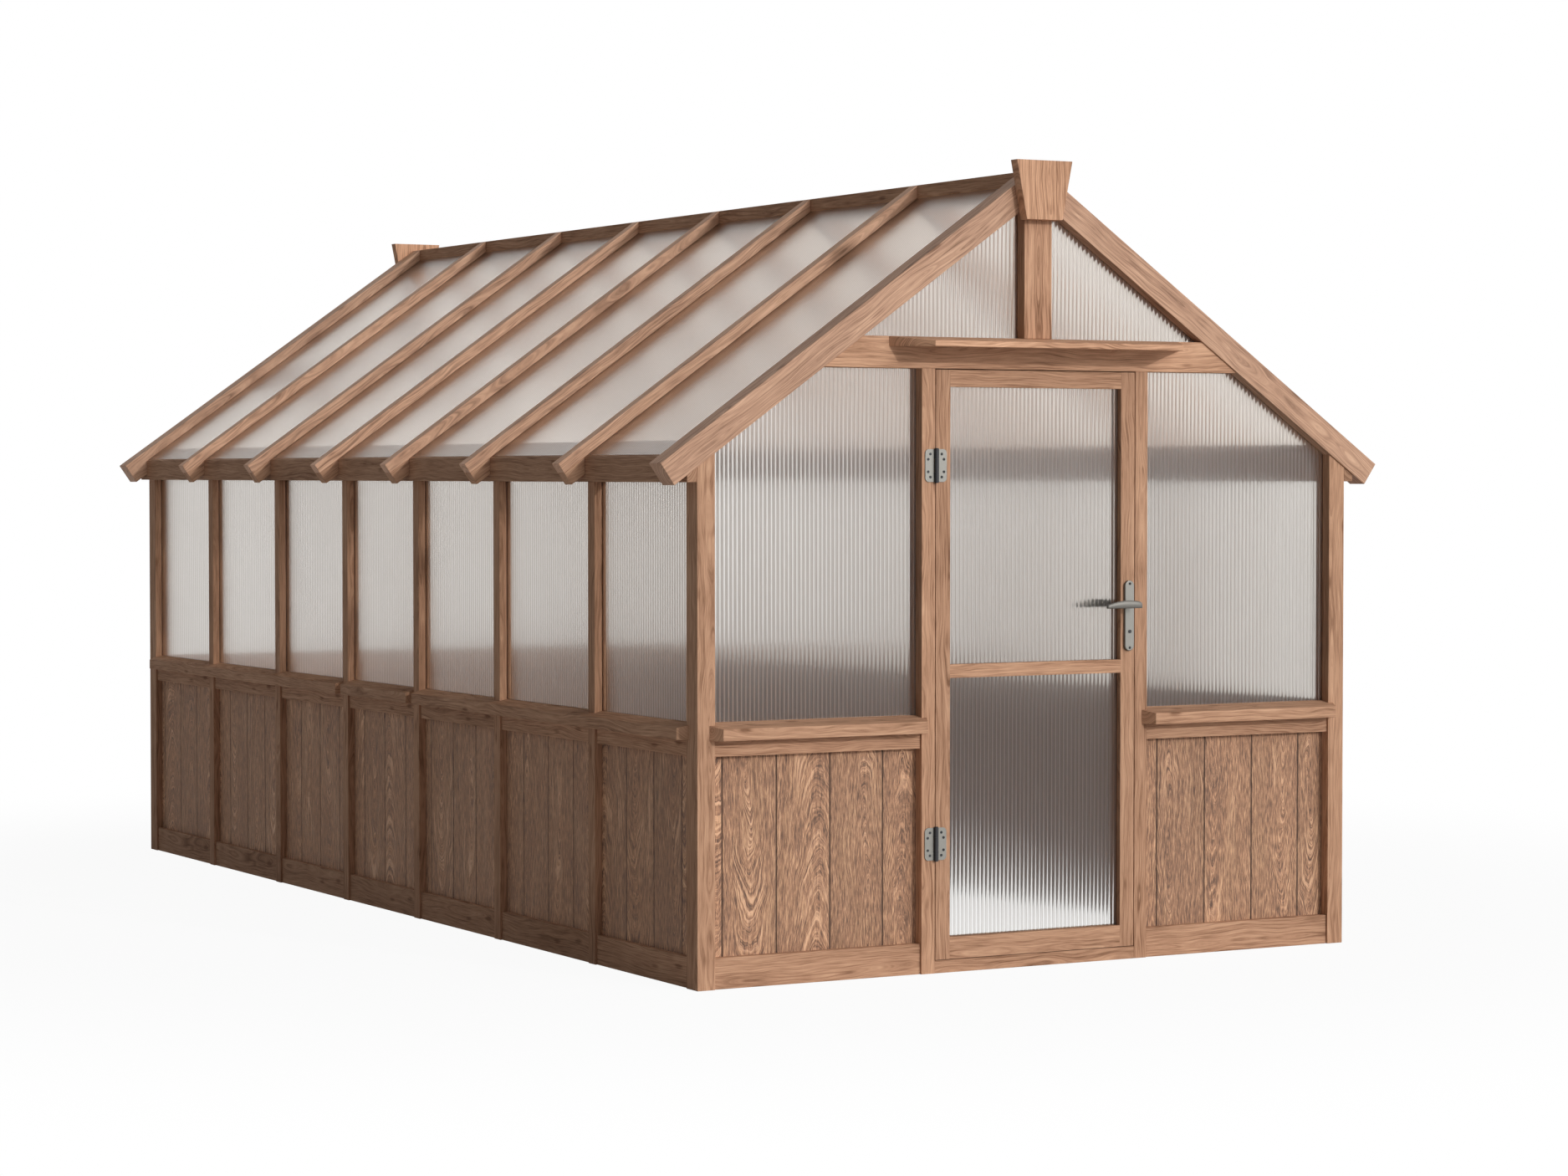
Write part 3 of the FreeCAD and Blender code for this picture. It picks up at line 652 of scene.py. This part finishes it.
def ease_arrises(work: bmesh.types.BMesh, width: float) -> None:
    """Rounds the outer edges of timbers.

    Args:
        work: The timbers.
        width: Width of the rounding.
    """
    sharp = [edge for edge in work.edges if edge.is_convex and edge.calc_face_angle(0) > SHARP]
    bmesh.ops.bevel(
        work,
        geom=sharp,
        offset=width,
        offset_type="OFFSET",
        segments=2,
        profile=0.5,
        affect="EDGES",
        clamp_overlap=True,
        material=-1,
    )


def shade_smooth(work: bmesh.types.BMesh, limit: float) -> None:
    """Smooths the shading over all edges that are flatter than a limit.

    Args:
        work: The mesh.
        limit: Largest angle between faces that are shaded as one.
    """
    for face in work.faces:
        face.smooth = True
    for edge in work.edges:
        edge.smooth = edge.calc_face_angle(0) < limit


def middle_of(faces: list[bmesh.types.BMFace]) -> Vector:
    """Middle of the box around some faces.

    Args:
        faces: The faces.

    Returns:
        The middle.
    """
    points = [vert.co for face in faces for vert in face.verts]
    low = Vector([min(point[i] for point in points) for i in range(3)])
    high = Vector([max(point[i] for point in points) for i in range(3)])
    return (low + high) / 2


def mark_timbers(work: bmesh.types.BMesh) -> Iterator[tuple[Vector, list[bmesh.types.BMFace]]]:
    """Gives each solid its middle and its lot number, which the wood finishes read.

    Args:
        work: The timbers or boards.

    Yields:
        The middle and the faces of one solid after another.
    """
    middles = work.faces.layers.float_vector.new("timber_middle")
    lots = work.faces.layers.float.new("timber_lot")
    for faces in islands(work):
        middle = middle_of(faces)
        lot = random.Random(repr([round(v, 3) for v in middle])).random()
        for face in faces:
            face[middles] = middle
            face[lots] = lot
        yield middle, faces


def finished(
    name: str, work: bmesh.types.BMesh, materials: list[bpy.types.Material], body: str, slot: str, *nodes: str
) -> None:
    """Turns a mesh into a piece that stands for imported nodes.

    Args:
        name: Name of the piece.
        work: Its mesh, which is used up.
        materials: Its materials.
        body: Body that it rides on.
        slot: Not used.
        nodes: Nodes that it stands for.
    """
    mesh = bpy.data.meshes.new(name)
    work.to_mesh(mesh)
    work.free()
    for material in materials:
        mesh.materials.append(material)
    piece = bpy.data.objects.new(name, mesh)
    bpy.context.scene.collection.objects.link(piece)
    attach(piece, body)
    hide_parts(*nodes)
    LOG.info("%s: %d faces, stands for %s", name, len(mesh.polygons), ", ".join(nodes))


@dataclass
class SubAssembly:
    """One sub-assembly of the greenhouse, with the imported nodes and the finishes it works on."""

    nodes: Mapping[str, bpy.types.Object]
    finishes: Finishes

    def build(self) -> None:
        """Builds and dresses all its pieces."""
        raise NotImplementedError


@dataclass
class Joinery(SubAssembly):
    """Timbers with eased arrises, each with its own run of grain."""

    timbers: Mapping[str, Grain] = field(default_factory=dict)
    body: str = "frame"
    arris: float = 0.0016
    paler: float = 0.0
    sheen: float = 0.08

    def build(self) -> None:
        """Builds one piece for each node of timbers."""
        for name, grain in self.timbers.items():
            work = solids_of(self.nodes[name])
            ease_arrises(work, self.arris)
            finished(f"{name}_planed", work, self.dress(work, grain), self.body, "timber", name)

    def dress(self, work: bmesh.types.BMesh, grain: Grain) -> list[bpy.types.Material]:
        """Marks each timber and chooses its material.

        Args:
            work: The timbers of one node.
            grain: Run of their fibres.

        Returns:
            The materials that the faces name.
        """
        chosen = [grain]
        if grain is Grain.BOTH_SLOPES:
            chosen = [Grain.LEFT_SLOPE, Grain.RIGHT_SLOPE]
        for middle, faces in mark_timbers(work):
            for face in faces:
                face.material_index = int(len(chosen) > 1 and middle.x > 0)
        finishes = [PlanedTimber(run, paler=self.paler, sheen=self.sheen) for run in chosen]
        return [self.finishes.get(finish) for finish in finishes]


@dataclass
class WallFrames(Joinery):
    """Posts, rails, sills, threshold and head stop of the four walls."""

    timbers: Mapping[str, Grain] = field(
        default_factory=lambda: {
            "corner_posts": Grain.UPRIGHT,
            "door_post_left": Grain.UPRIGHT,
            "door_post_right": Grain.UPRIGHT,
            "rear_posts": Grain.UPRIGHT,
            "left_posts": Grain.UPRIGHT,
            "right_posts": Grain.UPRIGHT,
            "threshold": Grain.ACROSS,
            "head_stop": Grain.ACROSS,
            "front_rails": Grain.ACROSS,
            "rear_rails": Grain.ACROSS,
            "left_rails": Grain.ALONG,
            "right_rails": Grain.ALONG,
            "front_sills": Grain.ACROSS,
            "rear_sills": Grain.ACROSS,
            "left_sills": Grain.ALONG,
            "right_sills": Grain.ALONG,
        }
    )


@dataclass
class GableFrames(Joinery):
    """Collar beams and king posts, in a paler tone."""

    paler: float = 0.12
    timbers: Mapping[str, Grain] = field(
        default_factory=lambda: {"collar_beams": Grain.ACROSS, "king_posts": Grain.UPRIGHT}
    )


@dataclass
class GableHeads(Joinery):
    """Keystones and the canopy over the door, in the palest tone."""

    paler: float = 0.34
    timbers: Mapping[str, Grain] = field(
        default_factory=lambda: {"keystones": Grain.UPRIGHT, "door_canopy": Grain.ACROSS}
    )


@dataclass
class RoofFrame(Joinery):
    """Plates, ridge and rafters."""

    timbers: Mapping[str, Grain] = field(
        default_factory=lambda: {
            "wall_plates": Grain.ALONG,
            "ridge_board": Grain.ALONG,
            "left_rafters": Grain.LEFT_SLOPE,
            "right_rafters": Grain.RIGHT_SLOPE,
        }
    )


@dataclass
class Eaves(Joinery):
    """Eave beams, darkened with painted shade for the shade under the roof edge."""

    # painted shade: a darker colour for the shade under the roof edge
    paler: float = -0.16
    timbers: Mapping[str, Grain] = field(default_factory=lambda: {"eave_beams": Grain.ALONG})


@dataclass
class GableRafters(Joinery):
    """Rafters over the two ends, with a slight sheen and a slightly paler colour that paints light on their
    tops.
    """

    sheen: float = 0.5
    # painted light: a slightly paler colour for the light on the rafters' tops
    paler: float = 0.04
    timbers: Mapping[str, Grain] = field(default_factory=lambda: {"gable_rafters": Grain.BOTH_SLOPES})


@dataclass
class RafterCaps(Joinery):
    """Caps that hold the roof sheets on the rafters, with a slight sheen and a paler colour that paints light
    on their tops.
    """

    sheen: float = 0.5
    # painted light: a paler colour for the light on the caps' tops
    paler: float = 0.2
    timbers: Mapping[str, Grain] = field(
        default_factory=lambda: {
            "left_rafter_caps": Grain.LEFT_SLOPE,
            "right_rafter_caps": Grain.RIGHT_SLOPE,
        }
    )


@dataclass
class DoorLeaf(Joinery):
    """Stiles and rails of the door."""

    body: str = "door"
    timbers: Mapping[str, Grain] = field(
        default_factory=lambda: {
            "door_hinge_stile": Grain.UPRIGHT,
            "door_lock_stile": Grain.UPRIGHT,
            "door_rails": Grain.ACROSS,
        }
    )


@dataclass
class Boarding(SubAssembly):
    """Upright boards under the windows, side by side with V joints."""

    square: float = 0.95
    walls: Mapping[str, Grain] = field(
        default_factory=lambda: {
            "front_boards": Grain.UPRIGHT,
            "rear_boards": Grain.UPRIGHT,
            "left_boards": Grain.UPRIGHT_SIDE,
            "right_boards": Grain.UPRIGHT_SIDE,
        }
    )

    def build(self) -> None:
        """Builds one piece for the boards of each wall."""
        for name, grain in self.walls.items():
            side = X_AXIS if grain is Grain.UPRIGHT else Y_AXIS
            work = solids_of(self.nodes[name], side)
            self.mark(work)
            material = self.finishes.get(BrushedBoard(grain))
            finished(f"{name}_brushed", work, [material], "frame", "boards", name)

    def mark(self, work: bmesh.types.BMesh) -> None:
        """Marks each board and the slanted faces of its V joints.

        Args:
            work: The boards of one wall.
        """
        joints = work.faces.layers.float.new("board_joint")
        for _, faces in mark_timbers(work):
            for face in faces:
                # the slanted faces are marked for the painted shade of the V joints
                face[joints] = float(max(abs(v) for v in face.normal) < self.square)


@dataclass(frozen=True)
class PaneSet:
    """Panes of one node: their sheet, the way they face and how deep their flutes are."""

    sheet: FlutedSheet
    outward: Triple
    depth: float


@dataclass
class Glazing(SubAssembly):
    """Fluted sheets of the windows, gables, roof and door."""

    steps: int = 8
    cut_fit: float = 0.000001
    flute_tilt: float = 0.7
    panes: Mapping[str, PaneSet] = field(
        default_factory=lambda: {
            "front_windows": PaneSet(END_SHEET, (0, -1, 0), 0.0026),
            "rear_windows": PaneSet(END_SHEET, (0, 1, 0), 0.0026),
            "door_panes": PaneSet(END_SHEET, (0, -1, 0), 0.0026),
            "gable_panes": PaneSet(END_SHEET, (0, 1, 0), 0.0026),
            "left_windows": PaneSet(SIDE_SHEET, (-1, 0, 0), 0.0007),
            "right_windows": PaneSet(SIDE_SHEET, (1, 0, 0), 0.0007),
            "left_roof_panes": PaneSet(ROOF_SHEET, (-math.sin(PITCH), 0, math.cos(PITCH)), 0.0005),
            "right_roof_panes": PaneSet(ROOF_SHEET, (math.sin(PITCH), 0, math.cos(PITCH)), 0.0005),
        }
    )

    def build(self) -> None:
        """Builds one piece for the panes of each node."""
        for name, lie in self.panes.items():
            work = solids_of(self.nodes[name])
            for faces in list(islands(work)):
                facing = Vector(lie.outward)
                if name == "gable_panes" and middle_of(faces).y < 0:
                    facing.negate()
                outer = max(faces, key=lambda face: face.normal.dot(facing) * face.calc_area())
                self.cut_flutes(work, outer, lie, facing)
            self.smooth_flutes(work, Vector(lie.outward))
            body = "door" if name == "door_panes" else "frame"
            material = self.finishes.get(lie.sheet)
            finished(f"{name}_fluted", work, [material], body, "sheet", name)

    def cut_flutes(
        self, work: bmesh.types.BMesh, outer: bmesh.types.BMFace, lie: PaneSet, facing: Vector
    ) -> None:
        """Cuts the outer face of a pane into strips and rounds them into flutes.

        Args:
            work: Mesh of the panes.
            outer: Outer face of one pane.
            lie: Lie of the panes.
            facing: Direction in which the face looks.
        """
        across = lie.sheet.across.vector()
        step = lie.sheet.pitch / self.steps
        reach = [vert.co.dot(across) for vert in outer.verts]
        end = max(reach) - step * 0.05
        place = (math.floor(min(reach) / step) + 1) * step
        strip = outer
        skin = set(outer.verts)
        while place < end:
            geometry = [strip, *strip.edges, *strip.verts]
            cut = bmesh.ops.bisect_plane(
                work, geom=geometry, dist=self.cut_fit, plane_co=across * place, plane_no=across
            )
            faces = [item for item in cut["geom"] if isinstance(item, bmesh.types.BMFace)]
            skin.update(vert for face in faces for vert in face.verts)
            strip = max(faces, key=lambda face: face.calc_center_median().dot(across))
            place += step
        for vert in skin:
            turn = (vert.co.dot(across) / lie.sheet.pitch) % 1.0
            vert.co -= facing * lie.depth * (2 * turn - 1) ** 2

    def smooth_flutes(self, work: bmesh.types.BMesh, outward: Vector) -> None:
        """Shades the flutes as one wave, and leaves the rims of the panes sharp.

        Args:
            work: Mesh of the panes.
            outward: Direction in which the panes look, or its opposite.
        """
        work.normal_update()
        for face in work.faces:
            face.smooth = True
        for edge in work.edges:
            edge.smooth = all(abs(face.normal.dot(outward)) > self.flute_tilt for face in edge.link_faces)


@dataclass
class Hinges(SubAssembly):
    """Hinge leaves in satin steel with near-black knuckles."""

    knuckle: float = 0.0073
    smooth_to: float = math.radians(30)
    leaves: Mapping[str, str] = field(
        default_factory=lambda: {"hinge_post_leaves": "frame", "hinge_door_leaves": "door"}
    )

    def build(self) -> None:
        """Builds one piece for the leaves on each body."""
        materials = [self.finishes.get(SatinSteel()), self.finishes.get(DARK_STEEL)]
        low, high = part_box("hinge_pins")
        pin = (Vector(low) + Vector(high)) / 2
        for name, body in self.leaves.items():
            work = bmesh.new()
            work.from_mesh(self.nodes[name].data)
            bmesh.ops.remove_doubles(work, verts=work.verts, dist=WELD)
            for face in work.faces:
                away = face.calc_center_median() - pin
                face.material_index = int(away.xy.length < self.knuckle)
            shade_smooth(work, self.smooth_to)
            finished(f"{name}_dressed", work, materials, body, "steel", name)


@dataclass(frozen=True)
class HornStation:
    """Cross-section of a lever: reach from its axis, half height and half thickness."""

    reach: float
    half_height: float
    half_thick: float


@dataclass
class Levers(SubAssembly):
    """Two arched levers with blunt tips, on round necks."""

    axis_x: float = 0.349
    axis_z: float = 1.1403
    door_middle: float = -2.3645
    arm_y: float = -2.4445
    plate_y: float = -2.3975
    neck_radius: float = 0.009
    level: float = 0.0114
    segments: int = 20
    neck_segments: int = 24
    smooth_to: float = math.radians(50)
    stations: tuple[HornStation, ...] = (
        HornStation(-0.0150, 0.0062, 0.0030),
        HornStation(-0.0132, 0.0090, 0.0050),
        HornStation(-0.0080, 0.0105, 0.0062),
        HornStation(0.0050, 0.0117, 0.0066),
        HornStation(0.0300, 0.0127, 0.0066),
        HornStation(0.0550, 0.0124, 0.0065),
        HornStation(0.0800, 0.0108, 0.0063),
        HornStation(0.1000, 0.0085, 0.0061),
        HornStation(0.1130, 0.0069, 0.0058),
        HornStation(0.1166, 0.0060, 0.0050),
        HornStation(0.1180, 0.0042, 0.0034),
    )

    def build(self) -> None:
        """Builds the outer lever and its mirror image inside."""
        material = self.finishes.get(LEVER_STEEL)
        inside = Matrix.Translation((0, 2 * self.door_middle, 0)) @ Matrix.Scale(-1, 4, Y_AXIS)
        for name, place in (("outer_lever", Matrix.Identity(4)), ("inner_lever", inside)):
            work = bmesh.new()
            self.arm(work)
            self.neck(work)
            bmesh.ops.transform(work, matrix=place, verts=work.verts)
            bmesh.ops.recalc_face_normals(work, faces=work.faces)
            shade_smooth(work, self.smooth_to)
            finished(f"{name}_horn", work, [material], "lever", "steel", name)

    def middle(self, station: HornStation) -> Vector:
        """Middle of a station, with its lower edge level."""
        rise = station.half_height - self.level
        return Vector((self.axis_x - station.reach, self.arm_y, self.axis_z + rise))

    def arm(self, work: bmesh.types.BMesh) -> None:
        """Draws the arm out of a disc, from one station to the next.

        Args:
            work: Mesh that receives the arm.
        """
        first = self.stations[0]
        facing = Matrix.Rotation(math.pi / 2, 4, "Y")
        disc = bmesh.ops.create_circle(
            work, cap_ends=True, segments=self.segments, radius=1.0, matrix=facing
        )["verts"]
        cap = disc[0].link_faces[0]
        bmesh.ops.scale(work, vec=(1, first.half_thick, first.half_height), verts=disc)
        bmesh.ops.translate(work, vec=self.middle(first), verts=disc)
        for here, there in zip(self.stations, self.stations[1:]):
            made = bmesh.ops.extrude_face_region(work, geom=[cap])["geom"]
            if here is not first:
                bmesh.ops.delete(work, geom=[cap], context="FACES_ONLY")
            cap = next(item for item in made if isinstance(item, bmesh.types.BMFace))
            size = (1, there.half_thick / here.half_thick, there.half_height / here.half_height)
            centre = Matrix.Translation(-self.middle(here))
            bmesh.ops.scale(work, vec=size, space=centre, verts=cap.verts)
            bmesh.ops.translate(work, vec=self.middle(there) - self.middle(here), verts=cap.verts)

    def neck(self, work: bmesh.types.BMesh) -> None:
        """Sets the round neck between the plate and the arm.

        Args:
            work: Mesh that receives the neck.
        """
        middle = Vector((self.axis_x, (self.arm_y + self.plate_y) / 2, self.axis_z))
        bmesh.ops.create_cone(
            work,
            cap_ends=True,
            segments=self.neck_segments,
            radius1=self.neck_radius,
            radius2=self.neck_radius,
            depth=self.plate_y - self.arm_y,
            matrix=Matrix.Translation(middle) @ Matrix.Rotation(math.pi / 2, 4, "X"),
        )


@dataclass
class Fittings(SubAssembly):
    """Plates, screws, bolts and pins of the door, kept as packed and dressed in metal."""

    plain: tuple[str, ...] = (
        "strike_plate",
        "lock_case",
        "handle_plates",
        "latch_bolt",
        "thumb_turn",
        "dead_bolt",
    )
    dark: tuple[str, ...] = ("hinge_pins", "hinge_post_screws", "coin_release")
    black: tuple[str, ...] = ("door_screws",)

    def build(self) -> None:
        """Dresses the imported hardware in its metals."""
        kinds = ((self.plain, SatinSteel()), (self.dark, DARK_STEEL), (self.black, BLACK_STEEL))
        for names, finish in kinds:
            material = self.finishes.get(finish)
            for name in names:
                for slot in self.nodes[name].material_slots:
                    slot.material = material
                LOG.info("%s: dressed in %s", name, material.name)


@dataclass(frozen=True)
class Lamp:
    """Far lamp: its strength, the angle that it fills and the way its light goes."""

    name: str
    strength: float
    spread: float
    way: Triple

    def hang(self) -> None:
        """Hangs the lamp in the scene."""
        data = bpy.data.lights.new(self.name, "SUN")
        data.energy = self.strength
        data.angle = math.radians(self.spread)
        holder = bpy.data.objects.new(self.name, data)
        holder.rotation_euler = Vector(self.way).to_track_quat("-Z", "Y").to_euler()
        bpy.context.scene.collection.objects.link(holder)


@dataclass
class Studio:
    """Pale floor, soft light and the camera."""

    lens: float = 85.567
    sensor: float = 36.0
    camera_place: Vector = field(default_factory=lambda: Vector((-6.4091, -12.2828, 1.56)))
    camera_yaw: float = math.radians(29.0553)
    camera_fall: float = math.radians(1.7678)
    lamps: tuple[Lamp, ...] = (
        Lamp("key_lamp", 1.05, 2.5, (-0.336, 1.0, -0.334)),
        Lamp("soft_lamp", 1.8, 62.0, (-0.55, 1.0, -0.5)),
    )
    ambient: float = 0.13
    floor_half: float = 60.0
    floor_colour: Colour = (0.8, 0.8, 0.8)
    floor_glow: float = 0.94
    floor_fade: tuple[float, float] = (2.6, 5.5)
    far: float = 200.0

    def build(self) -> None:
        """Sets the floor, the world, the lamps, the camera and the view."""
        self.floor()
        self.world()
        for lamp in self.lamps:
            lamp.hang()
        self.camera()
        bpy.context.scene.view_settings.view_transform = "Standard"

    def seen(self, graph: Graph) -> Socket:
        """1 for rays that look at the scene, straight, by gloss or through a sheet."""
        paths = graph.node("ShaderNodeLightPath").link.node.outputs
        straight = Socket(graph, paths["Is Camera Ray"])
        gloss = Socket(graph, paths["Is Glossy Ray"])
        return straight.largest(gloss).largest(Socket(graph, paths["Is Transmission Ray"]))

    def floor(self) -> None:
        """Makes the pale floor, which keeps a faint shadow."""
        work = bmesh.new()
        bmesh.ops.create_grid(work, x_segments=1, y_segments=1, size=self.floor_half)
        mesh = bpy.data.meshes.new("pale_floor")
        work.to_mesh(mesh)
        work.free()
        material, graph = new_graph("pale_floor")
        matt = graph.node("ShaderNodeBsdfDiffuse", None, {"Color": (*self.floor_colour, 1.0)})
        glow = graph.node("ShaderNodeEmission", None, {"Color": (1.0, 1.0, 1.0, 1.0), "Strength": 1.0})
        where = graph.node("ShaderNodeTexCoord", output="Object")
        away = graph.node("ShaderNodeVectorMath", {"operation": "LENGTH"}, {0: where}, "Value")
        share = self.seen(graph) * (self.floor_glow + away.between(*self.floor_fade) * (1 - self.floor_glow))
        graph.surface(graph.node("ShaderNodeMixShader", None, {0: share, 1: matt, 2: glow}))
        mesh.materials.append(material)
        floor = bpy.data.objects.new("pale_floor", mesh)
        bpy.context.scene.collection.objects.link(floor)

    def world(self) -> None:
        """Makes a white surrounding that lights the scene at a plain level."""
        world = bpy.data.worlds.new("pale_studio")
        world.use_nodes = True
        graph = Graph(world.node_tree)
        level = self.seen(graph) * (1 - self.ambient) + self.ambient
        white = (1.0, 1.0, 1.0, 1.0)
        shader = graph.node("ShaderNodeBackground", None, {"Color": white, "Strength": level})
        graph.node("ShaderNodeOutputWorld", None, {"Surface": shader})
        bpy.context.scene.world = world

    def camera(self) -> None:
        """Sets the camera at the viewing angle of the photograph."""
        data = bpy.data.cameras.new("front_left_view")
        data.sensor_fit = "HORIZONTAL"
        data.sensor_width = self.sensor
        data.lens = self.lens
        data.clip_end = self.far
        camera = bpy.data.objects.new("front_left_view", data)
        camera.location = self.camera_place
        camera.rotation_euler = (math.pi / 2 - self.camera_fall, 0.0, -self.camera_yaw)
        bpy.context.scene.collection.objects.link(camera)
        bpy.context.scene.camera = camera


def main() -> None:
    """Builds the greenhouse's looks, piece by piece."""
    logging.basicConfig(level=logging.INFO, format="%(message)s")
    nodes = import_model()["nodes"]
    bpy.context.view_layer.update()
    finishes = Finishes()
    walls = (WallFrames, Boarding, GableFrames, GableHeads)
    roof = (RoofFrame, Eaves, GableRafters, RafterCaps)
    door = (DoorLeaf, Hinges, Levers, Fittings)
    for part in (*walls, *roof, *door, Glazing):
        part(nodes, finishes).build()
    Studio().build()


if __name__ == "__main__":
    main()
